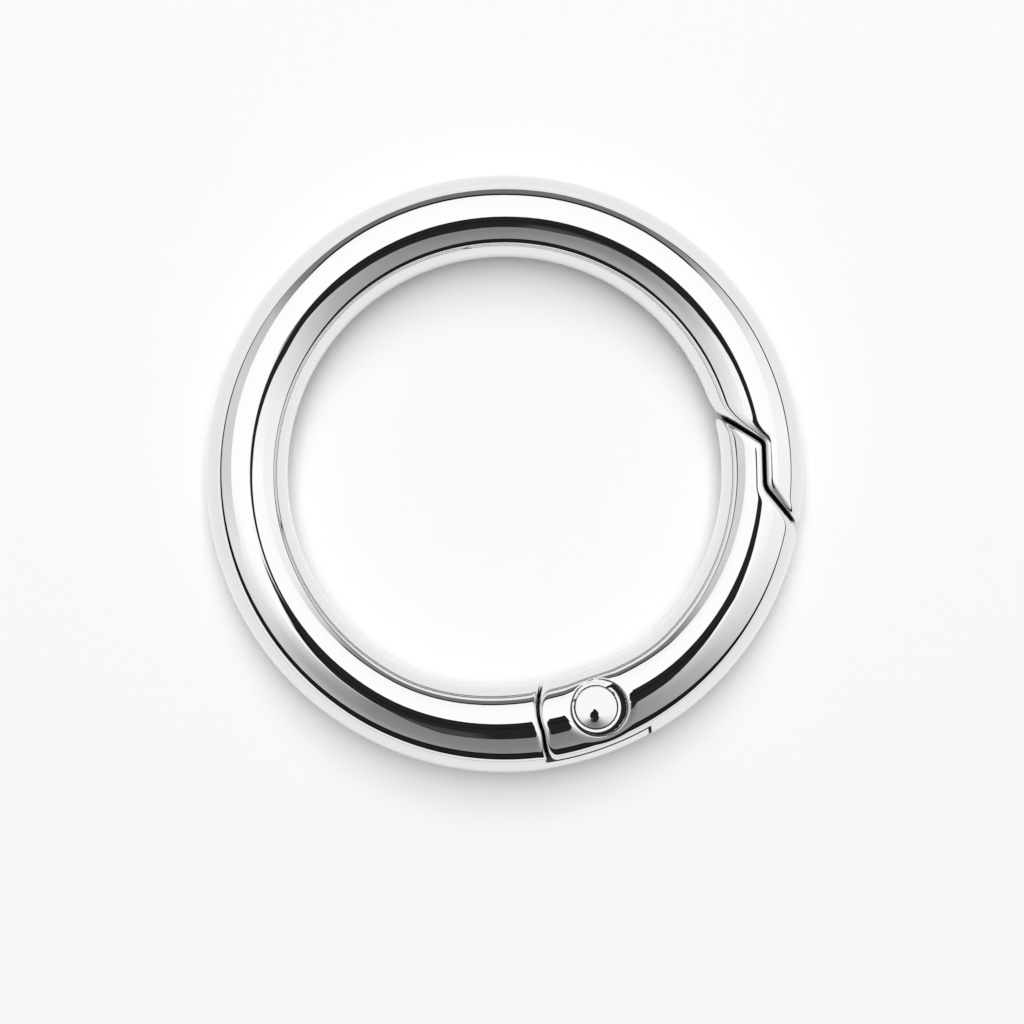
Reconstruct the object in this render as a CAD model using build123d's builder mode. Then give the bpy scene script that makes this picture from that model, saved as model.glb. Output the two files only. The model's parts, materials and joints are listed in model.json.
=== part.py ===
from build123d import *

import os
from math import cos, hypot, radians, sin

# Spring gate ring: a round bar bent into a ring, with a curved gate that swings inward on a
# rivet and is closed by a small spring. The ring lies flat with its centre at the origin and
# +Z up. Lengths are in millimetres and angles in degrees, counter-clockwise from +X.

# Ring
ring_inner_diameter = 25.0
section_diameter = 4.7

# Knuckle: the bar grows inward round the hinge and fades out on both sides
knuckle_angle = -74.0
knuckle_bulge = 0.40
knuckle_body_span = 44.0
knuckle_gate_span = 28.0
knuckle_sections = 13

# Hinge axis, and how far the gate swings
hinge_angle = -68.6
hinge_inset = 0.55
gate_opening_angle = 30.0

# Gap that parts the gate from the body, at the lap joint and at the seam
parting_gap = 0.2

# Lap joint at the gate's tip: a Z across the bar, seen from above
lap_inner_angle = 16.5
lap_upper_angle = 6.85
lap_lower_angle = -3.0
lap_outer_angle = -10.7
lap_corner_radius = 0.34
lap_edge_radius = 0.18

# Seam between the body and the gate's ears, round the hinge axis
seam_radius = 3.32
seam_inner_angle = 115.0
seam_outer_reach = 3.56
seam_bend = 0.95
seam_knee_radius = 0.8
seam_edge_radius = 0.16

# Tongue of the body, in the slot of the gate
tongue_thickness = 2.7
tongue_inset = 0.04
eye_wall = 0.6
cam_face_reach = 1.15
heel_reach = 2.1
swing_clearance = 0.25
slot_side_clearance = 0.07
slot_roof_clearance = 0.1
slot_end_clearance = 0.2
tongue_root_reach = 5.0

# Rivet, with a domed and flanged head in a pocket on each face
shank_diameter = 1.5
eye_clearance = 0.05
ear_clearance = 0.01
flange_diameter = 2.84
flange_thickness = 0.08
dome_diameter = 2.45
dome_radius = 3.1
dome_shift = 0.24
head_recess = 0.03
pocket_clearance = 0.035
pocket_depth = 0.52
pocket_draft = 12.0
pocket_shift_along = 0.17
pocket_shift_outward = 0.10

# Spring in its bore, beside the hinge axis
spring_diameter = 1.6
spring_wire = 0.28
spring_coils = 9
spring_inset = 0.6
spring_seat_gap = 0.05
bore_clearance = 0.1
bore_end_reach = 7.0

section_radius = section_diameter / 2
inner_radius = ring_inner_diameter / 2
pitch_radius = inner_radius + section_radius
outer_radius = pitch_radius + section_radius
hinge_radius = pitch_radius - hinge_inset
eye_radius = shank_diameter / 2 + eye_clearance + eye_wall
slot_roof = eye_radius + slot_roof_clearance
slot_half_width = tongue_thickness / 2 + slot_side_clearance
slot_end = heel_reach + slot_end_clearance
pocket_floor = section_radius - pocket_depth
pocket_shift = hypot(pocket_shift_along, pocket_shift_outward)
pocket_radius = flange_diameter / 2 + pocket_shift + pocket_clearance
ear_radius = seam_radius - parting_gap / 2
beyond = 2 * section_diameter

# The tongue's rail lies far enough outward for the gate's web to clear it when fully open
swing = radians(gate_opening_angle)
rail_drop = (ear_radius * sin(swing) - slot_roof + swing_clearance) / cos(swing)


def polar(radius, angle):
    return Vector(radius * cos(radians(angle)), radius * sin(radians(angle)))


# The hinge's own plane: x runs along the ring towards the gate's tip, y towards the centre
hinge_point = polar(hinge_radius, hinge_angle)
hinge_plane = Plane(origin=hinge_point, x_dir=polar(1, hinge_angle + 90), z_dir=(0, 0, 1))


def at_hinge(x, y):
    return hinge_plane.from_local_coords(Vector(x, y))


def seam_point(angle):
    return at_hinge(seam_radius * cos(radians(angle)), seam_radius * sin(radians(angle)))


def section_plane(angle):
    return Plane(origin=polar(pitch_radius, angle), x_dir=polar(1, angle), z_dir=polar(1, angle - 90))


def bulge_at(angle):
    span = knuckle_gate_span if angle > knuckle_angle else knuckle_body_span
    return knuckle_bulge * (1 - ((angle - knuckle_angle) / span) ** 2) ** 2


knuckle_start = knuckle_angle - knuckle_body_span
knuckle_span = knuckle_body_span + knuckle_gate_span
knuckle_end = knuckle_start + knuckle_span


def bar(inset):
    """The whole bar before it is parted into body and gate, or a thinner one inside it."""
    with BuildPart() as whole_bar:
        with BuildSketch(section_plane(knuckle_end)):
            Circle(section_radius - inset)
        revolve(axis=Axis.Z, revolution_arc=360 - knuckle_span)
        for step in range(knuckle_sections):
            angle = knuckle_start + knuckle_span * step / (knuckle_sections - 1)
            bulge = bulge_at(angle)
            with BuildSketch(section_plane(angle)):
                with Locations((-bulge / 2, 0)):
                    Ellipse(section_radius - inset + bulge / 2, section_radius - inset)
        loft()
    return whole_bar.part


ring_blank = bar(0)

# Gate zone: the stretch of the plan that belongs to the gate, up to the middle of both gaps
upper_corner = polar(pitch_radius, lap_upper_angle)
lower_corner = polar(pitch_radius, lap_lower_angle)
lap_inner_end = upper_corner + (polar(inner_radius, lap_inner_angle) - upper_corner) * 2
lap_outer_end = lower_corner + (polar(outer_radius, lap_outer_angle) - lower_corner) * 2
seam_inner_end = seam_point(seam_inner_angle)
seam_middle = seam_point((seam_inner_angle + 180) / 2)
seam_turn = seam_point(180)
seam_knee = at_hinge(-seam_outer_reach, -seam_bend)
seam_outer_end = at_hinge(-seam_outer_reach, -beyond)

lap_middle = polar(pitch_radius, (lap_upper_angle + lap_lower_angle) / 2)

with BuildSketch() as gate_zone:
    with BuildLine():
        Polyline(lap_inner_end, upper_corner, lower_corner, lap_outer_end)
        Polyline(lap_outer_end, polar(2 * outer_radius, hinge_angle / 2), seam_outer_end)
        Polyline(seam_outer_end, seam_knee, seam_turn)
        ThreePointArc(seam_turn, seam_middle, seam_inner_end)
        Line(seam_inner_end, lap_inner_end)
    make_face()
    corners = gate_zone.vertices()
    fillet([corners.sort_by_distance(p)[0] for p in (upper_corner, lower_corner)], lap_corner_radius)
    corners = gate_zone.vertices()
    fillet([corners.sort_by_distance(p)[0] for p in (seam_knee, seam_turn)], seam_knee_radius)


def cut_rims(part, near):
    """The edges round the cut faces that lie within a bar's width of a point of the plan."""
    walls = part.faces().filter_by(lambda f: f.geom_type in (GeomType.PLANE, GeomType.CYLINDER))
    rims = walls.edges().filter_by(Axis.Z, reverse=True)
    return rims.filter_by(lambda e: hypot(e.center().X - near.X, e.center().Y - near.Y) < section_diameter)


# Gate: the arm with its rounded ends
with BuildPart() as gate:
    add(ring_blank)
    with BuildSketch():
        add(gate_zone.sketch)
        offset(amount=-parting_gap / 2)
    extrude(amount=section_diameter, both=True, mode=Mode.INTERSECT)
    fillet(cut_rims(gate, lap_middle), lap_edge_radius)
    fillet(cut_rims(gate, hinge_point), seam_edge_radius)

    # Slot between the ears, open to the outer side and at the tail
    with BuildSketch(hinge_plane):
        with Locations((slot_end, slot_roof)):
            Rectangle(beyond, beyond, align=(Align.MAX, Align.MAX))
    extrude(amount=slot_half_width, both=True, mode=Mode.SUBTRACT)

    # Rivet hole through both ears, and a drafted pocket for the rivet's head in each face
    with Locations(hinge_plane):
        Cylinder(shank_diameter / 2 + ear_clearance, section_diameter, mode=Mode.SUBTRACT)
    for side in (1, -1):
        with BuildSketch(Plane.XY.offset(side * pocket_floor)):
            with Locations(at_hinge(pocket_shift_along, -pocket_shift_outward)):
                Circle(pocket_radius)
        extrude(amount=side * section_radius, taper=-pocket_draft, mode=Mode.SUBTRACT)

    # Spring bore, along the ring from the slot's end
    with BuildSketch(Plane(at_hinge(slot_end, spring_inset), z_dir=hinge_plane.x_dir)):
        Circle(spring_diameter / 2 + bore_clearance)
    extrude(amount=bore_end_reach - slot_end, mode=Mode.SUBTRACT)

# Tongue of the body: a rail along the ring's outer side, the rivet's eye, and the cam block
# that the spring pushes against
with BuildPart() as tongue:
    add(bar(tongue_inset))
    with BuildSketch(hinge_plane):
        with Locations((heel_reach, -rail_drop)):
            Rectangle(heel_reach + tongue_root_reach, beyond, align=(Align.MAX, Align.MAX))
        Circle(eye_radius)
        with Locations((0, eye_radius)):
            Rectangle(cam_face_reach, eye_radius + beyond / 2, align=(Align.MIN, Align.MAX))
    extrude(amount=tongue_thickness / 2, both=True, mode=Mode.INTERSECT)
    with Locations(hinge_plane):
        Cylinder(shank_diameter / 2 + eye_clearance, section_diameter, mode=Mode.SUBTRACT)

# Body: the rest of the ring, with the tongue growing out of the seam
with BuildPart() as ring_body:
    add(ring_blank)
    with BuildSketch():
        add(gate_zone.sketch)
        offset(amount=parting_gap / 2)
    extrude(amount=section_diameter, both=True, mode=Mode.SUBTRACT)
    fillet(cut_rims(ring_body, lap_middle), lap_edge_radius)
    fillet(cut_rims(ring_body, hinge_point), seam_edge_radius)
    add(tongue.part)

# Rivet head: a dome trimmed round, on a thin flange
with BuildPart() as rivet_head:
    with Locations(hinge_point + Vector(0, 0, pocket_floor)):
        Cylinder(dome_diameter / 2, pocket_depth, align=(Align.CENTER, Align.CENTER, Align.MIN))
    with Locations(at_hinge(0, -dome_shift) + Vector(0, 0, section_radius - head_recess - dome_radius)):
        Sphere(dome_radius, mode=Mode.INTERSECT)
    with Locations(hinge_point + Vector(0, 0, pocket_floor)):
        Cylinder(flange_diameter / 2, flange_thickness, align=(Align.CENTER, Align.CENTER, Align.MIN))

# Rivet: the shank through ears and eye, and a head in each pocket
with BuildPart() as hinge_rivet:
    with Locations(hinge_point):
        Cylinder(shank_diameter / 2, 2 * pocket_floor)
    add(rivet_head.part)
    mirror(rivet_head.part, about=Plane.XY)

# Spring: a coil between the cam face and the end of the bore
spring_start = cam_face_reach + spring_seat_gap + spring_wire / 2
spring_length = bore_end_reach - spring_seat_gap - spring_wire / 2 - spring_start
with BuildPart() as gate_spring:
    with BuildLine() as coil:
        Helix(
            pitch=spring_length / spring_coils,
            height=spring_length,
            radius=(spring_diameter - spring_wire) / 2,
            center=at_hinge(spring_start, spring_inset),
            direction=hinge_plane.x_dir,
        )
    with BuildSketch(Plane(coil.line @ 0, z_dir=coil.line % 0)):
        Circle(spring_wire / 2)
    sweep(is_frenet=True)

os.makedirs("parts", exist_ok=True)
for name, piece in (
    ("ring_body", ring_body),
    ("gate", gate),
    ("hinge_rivet", hinge_rivet),
    ("gate_spring", gate_spring),
):
    piece.part.label = name
    export_step(piece.part, f"parts/{name}.step")
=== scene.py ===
import json
from math import atan2, cos, degrees, pi, radians, sin

import bpy
import numpy as np
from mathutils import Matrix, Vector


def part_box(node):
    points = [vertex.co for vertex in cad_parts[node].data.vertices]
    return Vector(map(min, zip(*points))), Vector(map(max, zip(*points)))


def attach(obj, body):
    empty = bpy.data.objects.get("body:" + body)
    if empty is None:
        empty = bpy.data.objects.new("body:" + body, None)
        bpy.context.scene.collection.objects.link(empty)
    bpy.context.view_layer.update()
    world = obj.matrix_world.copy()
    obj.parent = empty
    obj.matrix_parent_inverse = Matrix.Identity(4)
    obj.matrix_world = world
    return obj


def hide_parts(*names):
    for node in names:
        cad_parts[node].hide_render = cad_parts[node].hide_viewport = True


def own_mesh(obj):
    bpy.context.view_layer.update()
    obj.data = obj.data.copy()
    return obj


# A chromed spring gate ring on a white table. Lengths below are in millimetres and angles in
# degrees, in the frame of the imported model; MM turns them into Blender's metres.
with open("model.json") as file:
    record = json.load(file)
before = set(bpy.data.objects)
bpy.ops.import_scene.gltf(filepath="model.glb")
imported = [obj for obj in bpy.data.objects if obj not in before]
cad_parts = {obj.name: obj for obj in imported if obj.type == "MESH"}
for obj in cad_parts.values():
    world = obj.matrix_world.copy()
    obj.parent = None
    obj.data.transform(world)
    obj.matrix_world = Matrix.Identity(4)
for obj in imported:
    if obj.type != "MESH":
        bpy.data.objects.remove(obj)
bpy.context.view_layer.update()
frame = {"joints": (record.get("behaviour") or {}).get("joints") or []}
MM = 0.001

# ---------------------------------------------------------------- sizes from the frame

body_low, body_high = (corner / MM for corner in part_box("ring_body"))
rivet_low, rivet_high = (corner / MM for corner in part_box("hinge_rivet"))
joint = next(j for j in frame["joints"] if j["name"] == "gate_hinge")
spring_change = next(d for d in joint["deforming_nodes"] if d["node"] == "gate_spring")

SECTION = body_high.z                       # radius of the round bar
OUTER = -body_low.x                         # ring's outer radius
PITCH = OUTER - SECTION
INNER = PITCH - SECTION
HINGE_X, HINGE_Y = (value / MM for value in joint["pos_m"][:2])
HINGE_ANGLE = degrees(atan2(HINGE_Y, HINGE_X))
ALONG_X, ALONG_Y = spring_change["axis"][:2]    # along the ring at the hinge, towards the tip
FLANGE = (rivet_high.x - rivet_low.x) / 2
RIVET_TOP = rivet_high.z

# ---------------------------------------------------------------- sizes of the details

# Knuckle: the bar grows inward round the hinge
KNUCKLE_ANGLE = -74.0
KNUCKLE_BULGE = 0.40
KNUCKLE_BODY_SPAN = 44.0
KNUCKLE_GATE_SPAN = 28.0

# Gap between gate and body: at the surface, and from a depth where it has narrowed
GAP = 0.13
GAP_DEEP = 0.03
GAP_NARROWS = 0.6

# Depths under the bar's surface over which painted shade turns the chrome dark and rough
PAINTED_SHADE_IN_GAP = (0.14, 0.34)
PAINTED_SHADE_IN_SLIT = (0.01, 0.05)
PAINTED_SHADE_IN_POCKET = (0.04, 0.10)

# Edges at the gaps are eased in: the power of their curve, where 2 is a quarter circle
EASED = 4.0

# Lap joint: the angles of its Z, its corner, and how wide its edges are
LAP_INNER = 16.5
LAP_UPPER = 6.85
LAP_LOWER = -3.0
LAP_OUTER = -10.7
LAP_CORNER = 0.22
LAP_EDGE_BODY = 0.90
LAP_EDGE_GATE = 0.75

# Seam round the hinge
SEAM_RADIUS = 3.32
SEAM_REACH = 3.56
SEAM_BEND = 0.95
SEAM_EDGE_BODY = 0.55
SEAM_EDGE_GATE = 0.60

# Slot of the gate and tongue of the body
TONGUE = 2.67
TONGUE_INSET = 0.04
SLOT_HALF = 1.45
SLOT_ROOF = 1.5
SLOT_END = 2.35
SLOT_LEAN = 0.12                    # of the slot's and the tongue's ends, along the ring by height
EYE = 1.4
CAM_REACH = 1.15
HEEL = 2.2
RAIL_DROP = 0.41
ROOT_REACH = 5.0
SLOT_EDGE = 0.05
TONGUE_EDGE = 0.04

# Rivet: shank and its fit, flange with a groove round the dome, and dome. A slope is the rise
# along the ring and the rise inward.
SHANK = 0.75
EAR_FIT = 0.01
EYE_FIT = 0.05
FLANGE_TOP = 1.95
FLANGE_BOTTOM = 1.58
FLANGE_MIDDLE = 1.32
FLANGE_SLOPE = (-0.03, -0.18)
FLANGE_DISH = (0.10, 0.22)          # rise away from the dome, and how much less on the inner side
FLANGE_EDGE = 0.03
HEAD_OVERLAP = 0.02                 # of the shank into the head
GROOVE = 1.225
GROOVE_HALF = 0.03
GROOVE_DEPTH = 0.12
DOME = 1.20
DOME_SLOPE = 0.40
DOME_FLAT = 0.80
DOME_OUTWARD = 0.42
DOME_ALONG = -0.20
DOME_EDGE = 0.04

# Pocket of the rivet's head, and the shallow dish round it, which fades on the inner side
POCKET = 1.60
POCKET_FLOOR = 1.83
POCKET_SLOPE = (-0.03, -0.02)
POCKET_FALL = 0.45                  # how steeply the floor follows the bar down on the inner side
POCKET_FALL_FROM = 0.9
POCKET_DRAFT = 5.0
POCKET_ALONG = 0.17
POCKET_OUTWARD = 0.10
POCKET_EDGE = 0.11
DISH_DEPTH = 0.06
DISH_WIDTH = 0.55
DISH_FADE = 0.5
DISH_FADES_OVER = (0.2, 1.3)

# Spring and its bore
SPRING = 0.66                       # radius of the coil's middle line
WIRE = 0.14                         # radius of the wire
SPRING_INSET = 0.6
SPRING_START = 1.34
SPRING_SEAT = 0.05
CLOSED_PITCH = 2.05                 # of the end coils, in wire radii
BORE = 0.9
BORE_END = 7.0
COILS = 9


def polar(radius, angle):
    """The point of the plan at this radius and angle."""
    return np.array([radius * cos(radians(angle)), radius * sin(radians(angle))])


def smooth(low, high, value):
    """0 at low, 1 at high, level beyond them, and a smooth S between."""
    t = np.clip((value - low) / (high - low), 0.0, 1.0)
    return t * t * (3.0 - 2.0 * t)


# ---------------------------------------------------------------- distance fields
# Each field is negative inside its solid, in millimetres.


def meet(a, b, radius, power=2.0):
    """What two fields share, with the edge rounded: a quarter circle, or eased in where power is over 2."""
    over_a, over_b = np.maximum(a + radius, 0.0), np.maximum(b + radius, 0.0)
    corner = (over_a**power + over_b**power) ** (1.0 / power)
    return np.minimum(np.maximum(a, b), -radius) + corner


def blend(a, b, width):
    """The smaller of two fields, with the corner between them eased over the width."""
    share = np.maximum(width - np.abs(a - b), 0.0) / width
    return np.minimum(a, b) - share * share * width / 4.0


def half_plane(x, y, start, end):
    """Distance from the line from start to end, positive on its left."""
    along = (end - start) / np.linalg.norm(end - start)
    return along[0] * (y - start[1]) - along[1] * (x - start[0])


def at_hinge(x, y):
    """Coordinates about the hinge: along the ring towards the gate's tip, and towards the centre."""
    dx, dy = x - HINGE_X, y - HINGE_Y
    return ALONG_X * dx + ALONG_Y * dy, ALONG_X * dy - ALONG_Y * dx


def bar(x, y, z, inset=0.0):
    """The round bar bent into a ring, thicker inward round the knuckle."""
    angle = np.degrees(np.arctan2(y, x))
    away = np.where(angle > 90.0, angle - 360.0, angle) - KNUCKLE_ANGLE
    span = np.where(away > 0.0, KNUCKLE_GATE_SPAN, KNUCKLE_BODY_SPAN)
    bulge = KNUCKLE_BULGE * np.maximum(1.0 - (away / span) ** 2, 0.0) ** 2
    wide = SECTION - inset + bulge / 2
    tall = SECTION - inset
    across = np.hypot(x, y) - PITCH + bulge / 2
    k0 = np.hypot(across / wide, z / tall)
    k1 = np.hypot(across / wide**2, z / tall**2)
    return k0 * (k0 - 1.0) / np.maximum(k1, 1e-6)


LAP_UPPER_CORNER = polar(PITCH, LAP_UPPER)
LAP_LOWER_CORNER = polar(PITCH, LAP_LOWER)
GATE_HALF = 3.0                     # the gate lies on its side of a chord this far from the centre


def lap(x, y):
    """The lap joint's middle line, negative on the gate's side."""
    inner = half_plane(x, y, LAP_UPPER_CORNER, polar(INNER, LAP_INNER))
    middle = half_plane(x, y, LAP_UPPER_CORNER, LAP_LOWER_CORNER)
    outer = half_plane(x, y, LAP_LOWER_CORNER, polar(OUTER, LAP_OUTER))
    return -blend(inner, -blend(middle, outer, LAP_CORNER), LAP_CORNER)


def seam(x, y):
    """The seam's middle line round the hinge, negative on the gate's side."""
    hx, hy = at_hinge(x, y)
    reach = SEAM_RADIUS + (SEAM_REACH - SEAM_RADIUS) * smooth(0.0, 1.0, -hy / (1.5 * SEAM_BEND))
    ring = np.where(hy > 0.0, np.hypot(hx, hy) - SEAM_RADIUS, -hx - reach)
    return np.minimum(ring, -hx)


def gate_side(x, y):
    """The stretch of the ring that belongs to the gate, up to the middle of both gaps."""
    middle = radians((LAP_UPPER + HINGE_ANGLE) / 2)
    far_side = GATE_HALF - (x * cos(middle) + y * sin(middle))
    return np.maximum(np.maximum(lap(x, y), seam(x, y)), far_side)


def half_gap(depth):
    """Half the gap between body and gate, which narrows below the surface."""
    return (GAP + (GAP_DEEP - GAP) * smooth(0.0, GAP_NARROWS, depth)) / 2


def slot_and_bore(hx, hy, z):
    """The room for the tongue between the ears, and the bore for the spring."""
    end = hx - SLOT_END - SLOT_LEAN * z
    slot = np.maximum(np.maximum(np.abs(z) - SLOT_HALF, hy - SLOT_ROOF), end)
    bore = np.maximum(np.hypot(z, hy - SPRING_INSET) - BORE, np.abs(hx - BORE_END / 2) - BORE_END / 2)
    return slot, bore


def pocket(hx, hy, z):
    """The two round pockets for the rivet's heads."""
    reach = np.hypot(hx - POCKET_ALONG, hy + POCKET_OUTWARD)
    depth = np.abs(z) - POCKET_FLOOR - POCKET_SLOPE[0] * hx - POCKET_SLOPE[1] * hy
    depth = depth + POCKET_FALL * np.maximum(hy - POCKET_FALL_FROM, 0.0)
    draft = radians(POCKET_DRAFT)
    side = (reach - POCKET - depth * sin(draft)) * cos(draft)
    return np.maximum(side, -depth)


def gate_field(x, y, z):
    """The curved arm, with its slot, bore, pockets and rivet hole."""
    hx, hy = at_hinge(x, y)
    reach = np.hypot(hx - POCKET_ALONG, hy + POCKET_OUTWARD)
    dish = DISH_DEPTH * np.clip(1.0 - (reach - POCKET) / DISH_WIDTH, 0.0, 1.0) ** 2
    dish = dish * (1.0 - DISH_FADE * smooth(*DISH_FADES_OVER, hy))
    blank = bar(x, y, z)
    gap = half_gap(-blank)
    solid = meet(blank + dish, lap(x, y) + gap, LAP_EDGE_GATE, EASED)
    solid = meet(solid, seam(x, y) + gap, SEAM_EDGE_GATE, EASED)
    solid = np.maximum(solid, gate_side(x, y))
    slot, bore = slot_and_bore(hx, hy, z)
    solid = meet(solid, -slot, SLOT_EDGE)
    solid = np.maximum(solid, -bore)
    solid = meet(solid, -pocket(hx, hy, z), POCKET_EDGE)
    return np.maximum(solid, SHANK + EAR_FIT - np.hypot(hx, hy))


def tongue_field(x, y, z):
    """The body's tongue: a rail on the outer side, the rivet's eye, and the cam for the spring."""
    hx, hy = at_hinge(x, y)
    along = hx - SLOT_LEAN * z
    rail_length = np.abs(along - (HEEL - ROOT_REACH) / 2) - (HEEL + ROOT_REACH) / 2
    rail = np.maximum(rail_length, hy + RAIL_DROP)
    eye = np.hypot(hx, hy) - EYE
    cam = np.maximum(np.abs(hx - CAM_REACH / 2) - CAM_REACH / 2, hy - EYE)
    plan = np.minimum(np.minimum(rail, eye), cam)
    solid = meet(bar(x, y, z, TONGUE_INSET), np.abs(z) - TONGUE / 2, TONGUE_EDGE)
    solid = meet(solid, plan, TONGUE_EDGE)
    return np.maximum(solid, SHANK + EYE_FIT - np.hypot(hx, hy))


def body_field(x, y, z):
    """The rest of the ring, with its tongue."""
    angle = np.degrees(np.arctan2(y, x))
    edge = np.where(np.abs(angle) < abs(HINGE_ANGLE) / 2, LAP_EDGE_BODY, SEAM_EDGE_BODY)
    blank = bar(x, y, z)
    solid = meet(blank, half_gap(-blank) - gate_side(x, y), edge, EASED)
    return np.minimum(solid, tongue_field(x, y, z))


def rivet_field(x, y, z):
    """The rivet: a shank, and a grooved flange and a dome at each end."""
    hx, hy = at_hinge(x, y)
    reach = np.hypot(hx, hy)
    height = np.abs(z)
    shank = np.maximum(reach - SHANK, height - POCKET_FLOOR - HEAD_OVERLAP)
    top = FLANGE_TOP + FLANGE_SLOPE[0] * hx + FLANGE_SLOPE[1] * hy
    top = top + (reach - FLANGE_MIDDLE) * (FLANGE_DISH[0] - FLANGE_DISH[1] * hy / np.maximum(reach, 0.1))
    flange = meet(height - top, reach - FLANGE, FLANGE_EDGE)
    groove = np.maximum(np.abs(reach - GROOVE) - GROOVE_HALF, top - GROOVE_DEPTH - height)
    flange = np.maximum(np.maximum(flange, -groove), FLANGE_BOTTOM - height)
    aside = np.hypot(np.hypot(hx - DOME_ALONG, hy + DOME_OUTWARD), DOME_FLAT)
    crown = height - RIVET_TOP + DOME_SLOPE * (aside - DOME_FLAT)
    dome = meet(crown, reach - DOME, DOME_EDGE)
    dome = np.maximum(dome, POCKET_FLOOR - height)
    return np.minimum(np.minimum(shank, flange), dome)


ON_FACE = 0.012                     # a point this near to a face counts as on it


def free_of_painted_shade(x, y, z):
    """1 where no shade is painted, down to 0 deep in the gaps, the slit, on the pocket's wall and in the
    groove, where the chrome is painted dark as shade.
    """
    hx, hy = at_hinge(x, y)
    reach = np.hypot(hx, hy)
    depth = -bar(x, y, z)
    # painted shade deep in the gaps
    painted_shade = smooth(*PAINTED_SHADE_IN_GAP, depth)
    # painted shade from close under the surface in the narrow slit round the tongue
    along = hx - SLOT_LEAN * z
    at_slot = (reach < ROOT_REACH) & (hy < 0) & (np.abs(z) < SLOT_HALF + 0.06) & (along < SLOT_END + 0.05)
    beside_tongue = np.abs(z) > TONGUE / 2 - ON_FACE
    past_tongue = (along > HEEL - ON_FACE) & (along < SLOT_END + ON_FACE)
    painted_shade = np.where(at_slot & (beside_tongue | past_tongue), smooth(*PAINTED_SHADE_IN_SLIT, depth), painted_shade)
    # in the pocket, painted shade only on its wall and in the groove round the dome
    in_pocket = (reach < POCKET + POCKET_ALONG) & (np.abs(z) > SLOT_HALF + 0.1)
    from_wall = np.hypot(hx - POCKET_ALONG, hy + POCKET_OUTWARD) - POCKET
    shade_at_wall = smooth(-0.05, -0.02, from_wall) * smooth(*PAINTED_SHADE_IN_POCKET, depth)
    shade_in_groove = smooth(GROOVE_HALF + 0.01, GROOVE_HALF - 0.01, np.abs(reach - GROOVE))
    return 1.0 - np.where(in_pocket, np.maximum(shade_at_wall, shade_in_groove), painted_shade)


# ---------------------------------------------------------------- meshes


def gradient(field, points, step=0.004):
    """The field's slope at each point."""
    slope = np.empty_like(points)
    for axis in range(3):
        shift = np.zeros(3)
        shift[axis] = step
        slope[:, axis] = field(*(points + shift).T) - field(*(points - shift).T)
    return slope / (2.0 * step)


def net_cells(values, corners):
    """The middle of the surface in each grid cell that it crosses, in grid coordinates."""
    shape = tuple(n - 1 for n in values.shape)
    total = np.zeros(shape + (3,))
    count = np.zeros(shape)
    for axis in range(3):
        low = [slice(None)] * 3
        high = [slice(None)] * 3
        low[axis] = slice(0, -1)
        high[axis] = slice(1, None)
        first, second = values[tuple(low)], values[tuple(high)]
        crossed = (first < 0) != (second < 0)
        share = np.where(crossed, first / np.where(crossed, first - second, 1.0), 0.0)
        place = corners[tuple(low)] + share[..., None] * (corners[tuple(high)] - corners[tuple(low)])
        for u in (0, 1):
            for v in (0, 1):
                near = [slice(u, -1 if u == 0 else None), slice(v, -1 if v == 0 else None)]
                near.insert(axis, slice(None))
                hit = crossed[tuple(near)]
                total += place[tuple(near)] * hit[..., None]
                count += hit
    return total, count


def net_quads(values, number):
    """The quads between cells, each turned outward."""
    quads = []
    inside = values < 0
    for axis in range(3):
        first = np.moveaxis(inside, axis, 0)[:-1, 1:-1, 1:-1]
        second = np.moveaxis(inside, axis, 0)[1:, 1:-1, 1:-1]
        cells = np.moveaxis(number, axis, 0)
        ring = (cells[:, :-1, :-1], cells[:, 1:, :-1], cells[:, 1:, 1:], cells[:, :-1, 1:])
        turned = axis == 1
        for found, flip in ((first & ~second, turned), (~first & second, not turned)):
            quad = np.stack([part[found] for part in ring], axis=1)
            quads.append(quad[:, ::-1] if flip else quad)
    return np.concatenate(quads)


# How points settle on the surface: in rounds, by short moves, even where the field is nearly flat
SETTLING_ROUNDS = 4
LONGEST_MOVE = 0.05
LEAST_STEEP = 0.25


def surface(name, field, axes, place):
    """A closed mesh on the surface of a field, with its exact normals."""
    corners = np.stack(np.meshgrid(*axes, indexing="ij"), axis=-1)
    values = field(*place(corners[..., 0], corners[..., 1], corners[..., 2]))
    total, count = net_cells(values, corners)
    used = count > 0
    middle = total[used] / count[used][:, None]
    points = np.stack(place(middle[:, 0], middle[:, 1], middle[:, 2]), axis=1)
    number = np.full(count.shape, -1)
    number[used] = np.arange(len(points))
    quads = net_quads(values, number)
    for _ in range(SETTLING_ROUNDS):
        slope = gradient(field, points)
        steep = np.maximum((slope**2).sum(axis=1), LEAST_STEEP)
        move = -(field(*points.T) / steep)[:, None] * slope
        length = np.linalg.norm(move, axis=1, keepdims=True)
        points += move * np.minimum(1.0, LONGEST_MOVE / np.maximum(length, 1e-9))
    normals = gradient(field, points)
    normals /= np.maximum(np.linalg.norm(normals, axis=1, keepdims=True), 1e-9)
    mesh = bpy.data.meshes.new(name)
    mesh.from_pydata((points * MM).tolist(), [], quads.tolist())
    mesh.shade_smooth()
    mesh.normals_split_custom_set_from_vertices(normals.tolist())
    # painted shade: a factor per vertex, 0 where the gaps and recesses are painted dark
    mesh.attributes.new("free_of_painted_shade", "FLOAT", "POINT").data.foreach_set("value", free_of_painted_shade(*points.T))
    piece = bpy.data.objects.new(name, mesh)
    bpy.context.scene.collection.objects.link(piece)
    return piece


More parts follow.
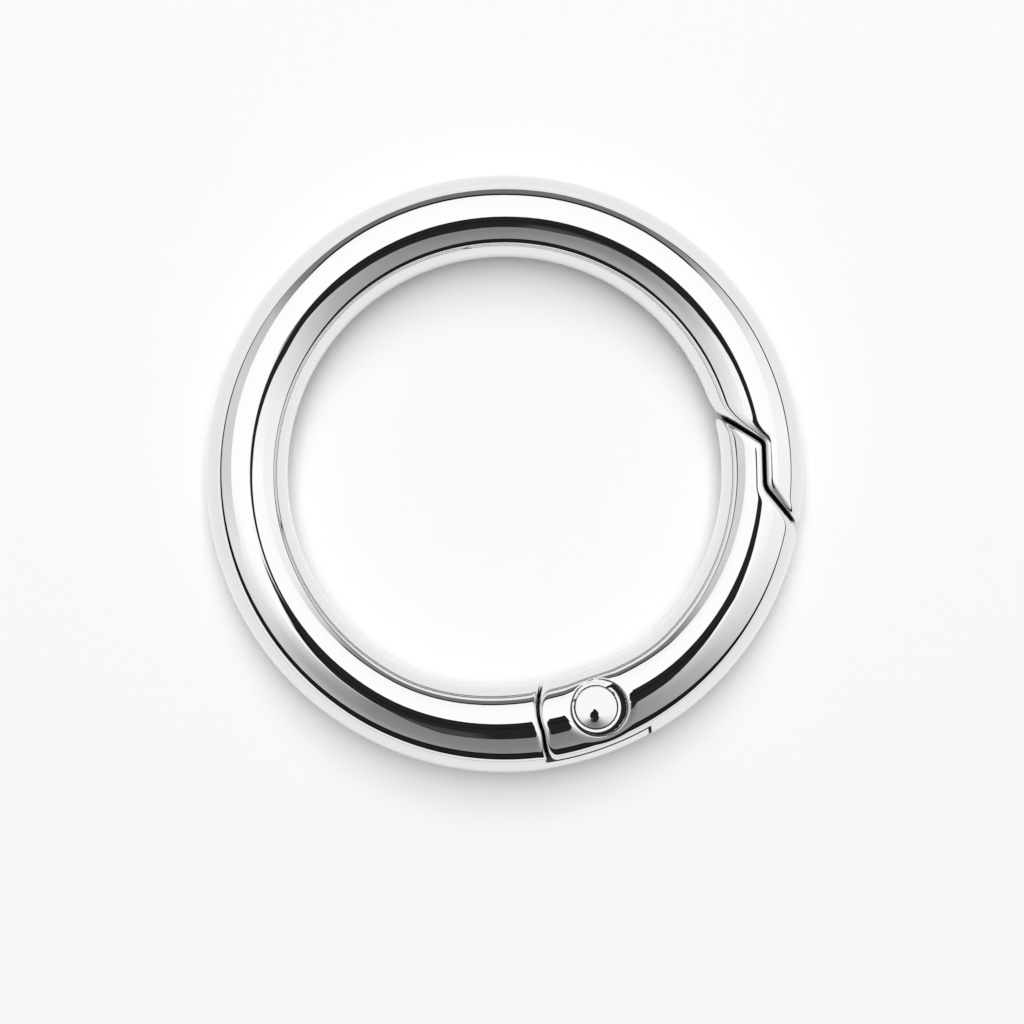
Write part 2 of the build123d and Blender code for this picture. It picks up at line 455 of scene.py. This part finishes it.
def steps(*stops):
    """Grid lines from (start, spacing), (next start, spacing), ... to (end, None)."""
    lines = []
    for (start, spacing), (end, _) in zip(stops[:-1], stops[1:]):
        number = max(1, round((end - start) / spacing))
        lines.append(np.linspace(start, end, number, endpoint=False))
    lines.append(np.array([stops[-1][0]]))
    return np.concatenate(lines)


def round_the_ring(radius, angle, z):
    """Grid coordinates of a piece of the ring, to the model's."""
    turn = np.radians(angle)
    return radius * np.cos(turn), radius * np.sin(turn), z


def straight(x, y, z):
    """Grid coordinates that are the model's own."""
    return x, y, z


# Spacing of the grid lines, in degrees round the ring and in millimetres
FINE = 0.32         # at the lap and the hinge
COARSE = 2.5        # between them
CELL = 0.065        # across the bar
THIN = 0.03         # at the faces of the slot
TINY = 0.022        # on the rivet's heads
SHANK_CELL = 0.15   # along its shank

# Room between a surface and the end of its grid or of its fine lines
ROOM = 0.2
CLOSE = 0.1

slit_low, slit_high = TONGUE / 2 - CLOSE, SLOT_HALF + CLOSE
head_low, head_high = FLANGE_BOTTOM - CLOSE, RIVET_TOP + CLOSE
across = steps((INNER - KNUCKLE_BULGE - ROOM, CELL), (OUTER + ROOM, None))
upward = steps(
    (-SECTION - ROOM, CELL),
    (-slit_high, THIN),
    (-slit_low, CELL),
    (slit_low, THIN),
    (slit_high, CELL),
    (SECTION + ROOM, None),
)

# Angles round the ring: the gate runs from the hinge to the lap, and the body on from there
gate_angles = steps((-84, FINE), (-57, COARSE), (-13, FINE), (19, None))
body_angles = steps((-12.5, FINE), (19, COARSE), (268, FINE), (302, None))

gate = surface("gate_arm_chrome", gate_field, (across, gate_angles, upward), round_the_ring)
body = surface("ring_body_chrome", body_field, (across, body_angles, upward), round_the_ring)
rivet_axes = (
    steps((HINGE_X - FLANGE - CLOSE, TINY), (HINGE_X + FLANGE + CLOSE, None)),
    steps((HINGE_Y - FLANGE - CLOSE, TINY), (HINGE_Y + FLANGE + CLOSE, None)),
    steps((-head_high, TINY), (-head_low, SHANK_CELL), (head_low, TINY), (head_high, None)),
)
rivet = surface("hinge_rivet_polished", rivet_field, rivet_axes, straight)


def coil_spring(name, sides=12, per_turn=28):
    """A compression spring with its end coils closed, lying along the gate's bore."""
    length = BORE_END - SPRING_SEAT - WIRE - SPRING_START
    coil = np.linspace(0.0, COILS, COILS * per_turn + 1)
    closed = WIRE * CLOSED_PITCH
    run = np.interp(coil, [0, 1, COILS - 1, COILS], [0, closed, length - closed, length])
    turn = 2 * pi * coil
    along = np.array([ALONG_X, ALONG_Y, 0.0])
    inward = np.array([-ALONG_Y, ALONG_X, 0.0])
    up = np.array([0.0, 0.0, 1.0])
    start = np.array([HINGE_X, HINGE_Y, 0.0]) + SPRING_INSET * inward + SPRING_START * along
    spoke = np.cos(turn)[:, None] * inward + np.sin(turn)[:, None] * up
    line = start + run[:, None] * along + SPRING * spoke
    points = []
    for k in range(sides):
        tilt = 2 * pi * k / sides
        points.append(line + WIRE * (cos(tilt) * spoke + sin(tilt) * along))
    points = np.stack(points, axis=1).reshape(-1, 3)
    faces = []
    for i in range(len(coil) - 1):
        for k in range(sides):
            a, b = i * sides + k, i * sides + (k + 1) % sides
            faces.append((a, b, b + sides, a + sides))
    faces.append(tuple(range(sides))[::-1])
    faces.append(tuple(range(len(points) - sides, len(points))))
    mesh = bpy.data.meshes.new(name)
    mesh.from_pydata((points * MM).tolist(), [], faces)
    mesh.shade_smooth()
    piece = bpy.data.objects.new(name, mesh)
    bpy.context.scene.collection.objects.link(piece)
    return piece


spring = coil_spring("gate_spring_coil")

# ---------------------------------------------------------------- materials


def new_material(name):
    """A material with its nodes, its links and its shader."""
    material = bpy.data.materials.new(name)
    material.use_nodes = True
    nodes = material.node_tree.nodes
    return material, nodes, material.node_tree.links, nodes["Principled BSDF"]


CHROME = (0.83, 0.835, 0.84)
NICKEL = (0.80, 0.80, 0.80)
# Painted shade: the dark grey and the roughness the chrome is painted with deep in the gaps, the slit, on the
# pocket's wall and in the groove
PAINTED_SHADE_GREY = (0.09, 0.09, 0.09)
PAINTED_SHADE_ROUGHNESS = 0.42
RIPPLE = 0.1


def polished(name, colour, roughness, wear):
    """Plated metal: a mirror with faint cloudiness and a slight ripple, painted dark and rough as shade deep
    in the gaps.
    """
    material, nodes, links, shader = new_material(name)
    shader.inputs["Metallic"].default_value = 1.0
    # painted shade: the chrome is mixed to dark grey and made rough where the factor falls
    painted_shade_node = nodes.new("ShaderNodeAttribute")
    painted_shade_node.attribute_name = "free_of_painted_shade"
    shade_tint = nodes.new("ShaderNodeMix")
    shade_tint.data_type = "RGBA"
    shade_tint.inputs["A"].default_value = (*PAINTED_SHADE_GREY, 1.0)
    shade_tint.inputs["B"].default_value = (*colour, 1.0)
    links.new(painted_shade_node.outputs["Fac"], shade_tint.inputs["Factor"])
    links.new(shade_tint.outputs["Result"], shader.inputs["Base Color"])
    place = nodes.new("ShaderNodeTexCoord")

    cloud = nodes.new("ShaderNodeTexNoise")
    cloud.inputs["Scale"].default_value = 260.0
    cloud.inputs["Detail"].default_value = 4.0
    links.new(place.outputs["Object"], cloud.inputs["Vector"])
    haze = nodes.new("ShaderNodeMapRange")
    haze.inputs["From Min"].default_value = 0.35
    haze.inputs["From Max"].default_value = 0.75
    haze.inputs["To Min"].default_value = roughness
    haze.inputs["To Max"].default_value = roughness + wear
    links.new(cloud.outputs["Fac"], haze.inputs["Value"])
    painted_shade = nodes.new("ShaderNodeMapRange")
    painted_shade.inputs["To Min"].default_value = PAINTED_SHADE_ROUGHNESS
    links.new(painted_shade_node.outputs["Fac"], painted_shade.inputs["Value"])
    links.new(haze.outputs["Result"], painted_shade.inputs["To Max"])
    links.new(painted_shade.outputs["Result"], shader.inputs["Roughness"])

    swell = nodes.new("ShaderNodeTexNoise")
    swell.inputs["Scale"].default_value = 330.0
    swell.inputs["Detail"].default_value = 1.0
    links.new(place.outputs["Object"], swell.inputs["Vector"])
    bump = nodes.new("ShaderNodeBump")
    bump.inputs["Strength"].default_value = RIPPLE
    bump.inputs["Distance"].default_value = 0.00005
    links.new(swell.outputs["Fac"], bump.inputs["Height"])
    links.new(bump.outputs["Normal"], shader.inputs["Normal"])
    return material


def spring_wire(name):
    """Drawn steel wire with a fine grain."""
    material, nodes, links, shader = new_material(name)
    shader.inputs["Base Color"].default_value = (0.56, 0.56, 0.57, 1.0)
    shader.inputs["Metallic"].default_value = 1.0
    place = nodes.new("ShaderNodeTexCoord")
    grain = nodes.new("ShaderNodeTexNoise")
    grain.inputs["Scale"].default_value = 4000.0
    grain.inputs["Detail"].default_value = 3.0
    links.new(place.outputs["Object"], grain.inputs["Vector"])
    haze = nodes.new("ShaderNodeMapRange")
    haze.inputs["To Min"].default_value = 0.22
    haze.inputs["To Max"].default_value = 0.42
    links.new(grain.outputs["Fac"], haze.inputs["Value"])
    links.new(haze.outputs["Result"], shader.inputs["Roughness"])
    return material


body.data.materials.append(polished("chrome_on_body", CHROME, roughness=0.015, wear=0.015))
gate.data.materials.append(polished("chrome_on_gate", CHROME, roughness=0.015, wear=0.015))
rivet.data.materials.append(polished("nickel_on_rivet", NICKEL, roughness=0.02, wear=0.03))
spring.data.materials.append(spring_wire("drawn_spring_steel"))

for piece, body_name, node, slot_name in (
    (body, "ring", "ring_body", "chrome_body"),
    (gate, "gate_arm", "gate", "chrome_gate"),
    (rivet, "gate_arm", "hinge_rivet", "polished_rivet"),
    (spring, "gate_arm", "gate_spring", "spring_steel"),
):
    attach(piece, body_name)
    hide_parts(node)
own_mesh(spring)

# ---------------------------------------------------------------- studio
# What the chrome reflects. Levels of light are given as the sRGB greys, from 0 to 255, that they
# show as in the chrome.

WHITE = 253.0
BLACK = 6.0
TABLE_GREY = 232.0
TENT_RADIUS = 1500.0
WALL_RADIUS = 65.0
WALL_HEIGHT = 70


def glow(name, see_through):
    """Light that leaves a staged sheet, as its vertices say, and which of them hide what is behind."""
    material = bpy.data.materials.new(name)
    material.use_nodes = True
    nodes, links = material.node_tree.nodes, material.node_tree.links
    nodes.clear()
    out = nodes.new("ShaderNodeOutputMaterial")
    light = nodes.new("ShaderNodeEmission")
    level = nodes.new("ShaderNodeAttribute")
    level.attribute_name = "level"
    links.new(level.outputs["Fac"], light.inputs["Strength"])
    if see_through:
        cover = nodes.new("ShaderNodeAttribute")
        cover.attribute_name = "cover"
        clear = nodes.new("ShaderNodeBsdfTransparent")
        mix = nodes.new("ShaderNodeMixShader")
        links.new(cover.outputs["Fac"], mix.inputs["Fac"])
        links.new(clear.outputs["BSDF"], mix.inputs[1])
        links.new(light.outputs["Emission"], mix.inputs[2])
        links.new(mix.outputs["Shader"], out.inputs["Surface"])
    else:
        links.new(light.outputs["Emission"], out.inputs["Surface"])
    material.cycles.emission_sampling = "NONE"
    return material


def seen_in_gloss_only(stage_object):
    """Stage a thing that only reflections show."""
    for kind in ("camera", "diffuse", "shadow", "transmission", "volume_scatter"):
        setattr(stage_object, f"visible_{kind}", False)


def grid_mesh(name, points, levels, cover=None):
    """A staged sheet from a grid of points, with a level of light and perhaps a cover at each."""
    rows, columns = points.shape[:2]
    index = np.arange(rows * columns).reshape(rows, columns)
    quads = np.stack([index[:-1, :-1], index[1:, :-1], index[1:, 1:], index[:-1, 1:]], axis=-1)
    mesh = bpy.data.meshes.new(name)
    mesh.from_pydata((points * MM).reshape(-1, 3).tolist(), [], quads.reshape(-1, 4).tolist())
    mesh.attributes.new("level", "FLOAT", "POINT").data.foreach_set("value", levels.ravel())
    if cover is not None:
        mesh.attributes.new("cover", "FLOAT", "POINT").data.foreach_set("value", cover.ravel())
    mesh.materials.append(glow(name + "_glow", cover is not None))
    sheet = bpy.data.objects.new(name, mesh)
    bpy.context.scene.collection.objects.link(sheet)
    seen_in_gloss_only(sheet)


def grey(value):
    """Light that shows as this sRGB grey in the chrome."""
    share = np.asarray(value, float) / 255.0
    linear = np.where(share < 0.04045, share / 12.92, ((share + 0.055) / 1.055) ** 2.4)
    return linear / CHROME[1]


def between(low, high, soft, value):
    """1 from low to high, and a smooth fade over soft on both sides."""
    return smooth(low - soft, low + soft, value) * (1.0 - smooth(high - soft, high + soft, value))


def around(azimuth, *stops):
    """A value that follows the azimuth through stops of (azimuth, value), all the way round."""
    angles, values = zip(*stops)
    return np.interp(azimuth, angles, values, period=360)


# Azimuths run counter-clockwise from +X. The camera's top is at 90, and the photographer's
# side, with the dark opening of the tent, at -90.


def room_levels(azimuth, zenith):
    """Grey of the tent by direction: white beyond and at the top, grey on the near side."""
    steep = around(azimuth, (-165, 252), (-150, 240), (-135, 182), (-120, 128), (-90, 122), (-75, 124),
                   (-60, 150), (-45, 192), (-30, 225), (-15, 245), (0, 253), (180, 253))
    middle = around(azimuth, (-180, 252), (-165, 238), (-150, 220), (-135, 165), (-120, 135), (-90, 126),
                    (-75, 128), (-60, 148), (-45, 176), (-30, 218), (-15, 240), (0, 252))
    low = around(azimuth, (-180, 240), (-165, 226), (-150, 212), (-135, 188), (-120, 162), (-105, 148),
                 (-90, 138), (-60, 150), (-45, 172), (-30, 212), (-15, 236), (0, 250))
    level = WHITE + smooth(9, 16, zenith) * (steep - WHITE)
    level = level + smooth(18, 40, zenith) * (middle - steep)
    return level + smooth(40, 68, zenith) * (low - level)


def wall_levels(azimuth, height):
    """Grey and cover of the things that stand close round the ring, by height over its crest."""
    # a band of wall that fills in below the white of the tent
    top = around(azimuth, (-168, 66), (-155, 24), (-135, 23), (-105, 26), (-90, 27), (-60, 21), (-40, 16),
                 (-28, 14), (-15, 64), (0, 66), (15, 52), (30, 41), (45, 35), (60, 32), (90, 33.5),
                 (120, 31.5), (128, 33.5), (135, 39), (150, 46), (165, 52), (180, 60))
    cover = 1.0 - smooth(top - 1.0, top + 0.4, height)
    level = around(azimuth, (-165, 228), (-150, 212), (-135, 190), (-110, 152), (-90, 140), (-60, 152),
                   (-45, 172), (-30, 214), (-15, 238), (10, 245), (28, 236), (40, 205), (52, 135),
                   (62, 112), (118, 108), (135, 122), (146, 190), (160, 208), (180, 208))
    # the black frame of the white panel beyond
    panel_frame = between(48, 133, 3, azimuth) * smooth(top - 7.0, top - 5.6, height)
    level = level + panel_frame * (BLACK - level)
    # the light table along the horizon
    horizon = around(azimuth, (-180, 12), (-150, 9.5), (-120, 6.5), (-90, 6.5), (-60, 4.5), (-30, 4), (15, 3),
                     (30, 4), (45, 8), (60, 11), (120, 11.5), (135, 13), (150, 12))
    level = level + (1.0 - smooth(horizon - 0.8, horizon + 0.8, height)) * (TABLE_GREY - level)
    # the dark opening of the tent, thin at its ends, with a lighter core
    dark_top = around(azimuth, (-180, 16), (-165, 18.5), (-150, 21), (-135, 21), (-120, 23.5), (-100, 26),
                      (-85, 25.5), (-60, 20), (-45, 15.5), (-30, 10), (-15, 6.5), (0, 5.5), (30, 7), (45, 11),
                      (56, 13.5), (150, 14.5), (165, 15))
    strength = around(azimuth, (-180, 1), (36, 1), (46, 0.8), (56, 0.0), (135, 0.0), (150, 0.6), (165, 1.0))
    dark = strength * between(horizon, dark_top, 0.8, height)
    core = between(horizon + 3, dark_top - 3, 2, height) * (dark_top - horizon > 8)
    return level + dark * (BLACK + 26.0 * core - level), np.maximum(cover, dark)


def build_room():
    """The white tent over the table."""
    azimuth, zenith = np.meshgrid(np.linspace(-180, 180, 361), np.linspace(0, 92, 185), indexing="ij")
    turn, fall = np.radians(azimuth), np.radians(zenith)
    way = np.stack([np.sin(fall) * np.cos(turn), np.sin(fall) * np.sin(turn), np.cos(fall)], axis=-1)
    grid_mesh("studio_tent", TENT_RADIUS * way, grey(room_levels(azimuth, zenith)))


def build_wall():
    """The tent's lower part, close round the ring."""
    azimuth, height = np.meshgrid(
        np.linspace(-180, 180, 721), np.linspace(0, WALL_HEIGHT, 4 * WALL_HEIGHT + 1), indexing="ij"
    )
    turn = np.radians(azimuth)
    points = np.stack([WALL_RADIUS * np.cos(turn), WALL_RADIUS * np.sin(turn), SECTION + height], axis=-1)
    level, cover = wall_levels(azimuth, height)
    grid_mesh("studio_wall", points, grey(level), cover)


# Where the crest of the ring mirrors the line to the camera, for each millimetre of height
MIRRORED_X = -0.0026
MIRRORED_Y = 0.0133


def dark_sheet(name, height, rows, left, right, low, high):
    """A dark shape over the table: its left and right edges at rows of y, between low and high."""
    x, y = np.meshgrid(np.linspace(-34, 38, 289), np.linspace(low - 2, high + 2, 241), indexing="ij")
    inside = np.minimum(x - np.interp(y, rows, left), np.interp(y, rows, right) - x)
    inside = np.minimum(inside, np.minimum(y - low, high - y))
    cover = smooth(-0.7, 0.7, inside)
    # darkest along its edge, and a near left part that catches some light
    level = 14.0 + 22.0 * smooth(0.5, 3.0, inside)
    level = level + smooth(-1, -6, x) * smooth(-28, -33, y) * 30.0
    points = np.stack([x + MIRRORED_X * height, y + MIRRORED_Y * height, np.full_like(x, height)], axis=-1)
    grid_mesh(name, points, grey(level), cover)


def build_camera_shadow():
    """The dark camera over the table, and the hands that hold it on the near side."""
    dark_sheet(
        "camera_front",
        height=75.0,
        rows=(-12, -8, -5, -2.5, -1, 0, 1.5, 3, 4.5, 6),
        left=(-15, -12, -9, -6, -4, -2, -2.5, -3, -1.5, 1),
        right=(22, 19, 17, 15, 14, 13, 11.5, 9.5, 7.5, 5),
        low=-12.0,
        high=6.2,
    )
    dark_sheet(
        "camera_hands",
        height=95.0,
        rows=(-56, -50, -34, -26, -20, -12, -8, -4),
        left=(-12, -14, -16, -21, -21.5, -17, -11, -4),
        right=(10, 15, 26, 25, 23.5, 20.5, 18, 14),
        low=-55.0,
        high=-4.0,
    )


def build_flag():
    """A sliver of white that hides the camera's tip from the ring's left side."""
    height = 40.0
    x, y = np.meshgrid(np.linspace(-10, -4, 49), np.linspace(-6, 6, 49), indexing="ij")
    cover = between(-9.0, -5.6, 0.5, x) * between(-2.6, 4.2, 0.6, y)
    points = np.stack([x, y, np.full_like(x, height)], axis=-1)
    grid_mesh("white_flag", points, grey(np.full_like(x, WHITE)), cover)


build_room()
build_wall()
build_camera_shadow()
build_flag()


def build_floor():
    """The plain pale table, at the height of the ring's underside."""
    half = 3000.0
    corners = np.array([(-half, -half), (half, -half), (half, half), (-half, half)])
    points = np.column_stack([corners, np.full(4, -SECTION)]) * MM
    mesh = bpy.data.meshes.new("table")
    mesh.from_pydata(points.tolist(), [], [(0, 1, 2, 3)])
    material, _, _, shader = new_material("white_table")
    shader.inputs["Base Color"].default_value = (0.93, 0.93, 0.93, 1.0)
    shader.inputs["Roughness"].default_value = 0.9
    shader.inputs["Specular IOR Level"].default_value = 0.0
    mesh.materials.append(material)
    floor = bpy.data.objects.new("table", mesh)
    bpy.context.scene.collection.objects.link(floor)


build_floor()


def build_lamp():
    """A wide lamp over the table beyond the ring, facing down."""
    lamp = bpy.data.lights.new("tent_light", "AREA")
    lamp.shape = "RECTANGLE"
    lamp.size = 620.0 * MM
    lamp.size_y = 1600.0 * MM
    lamp.energy = 17.1
    holder = bpy.data.objects.new("tent_light", lamp)
    bpy.context.scene.collection.objects.link(holder)
    holder.location = (0.0, 630.0 * MM, 1200.0 * MM)
    holder.visible_glossy = False


build_lamp()

AIR_LIGHT = 0.30    # of the white air, on everything but the camera

world = bpy.data.worlds.new("studio_air")
bpy.context.scene.world = world
world.use_nodes = True
air = world.node_tree.nodes
air["Background"].inputs["Color"].default_value = (1, 1, 1, 1)
path = air.new("ShaderNodeLightPath")
pick = air.new("ShaderNodeMapRange")
pick.inputs["To Min"].default_value = AIR_LIGHT
pick.inputs["To Max"].default_value = 1.0
world.node_tree.links.new(path.outputs["Is Camera Ray"], pick.inputs["Value"])
world.node_tree.links.new(pick.outputs["Result"], air["Background"].inputs["Strength"])

# ---------------------------------------------------------------- camera
# It looks straight down from almost over the ring's centre, like the photographer's.

camera = bpy.data.objects.new("camera", bpy.data.cameras.new("camera"))
bpy.context.scene.collection.objects.link(camera)
camera.data.lens = 100.0
camera.data.sensor_width = 36.0
camera.data.clip_start = 0.005
camera.location = (0.427 * MM, -2.196 * MM, 163.9 * MM)
camera.rotation_euler = (0.0, 0.0, 0.0)
bpy.context.scene.camera = camera
bpy.context.scene.view_settings.view_transform = "Standard"
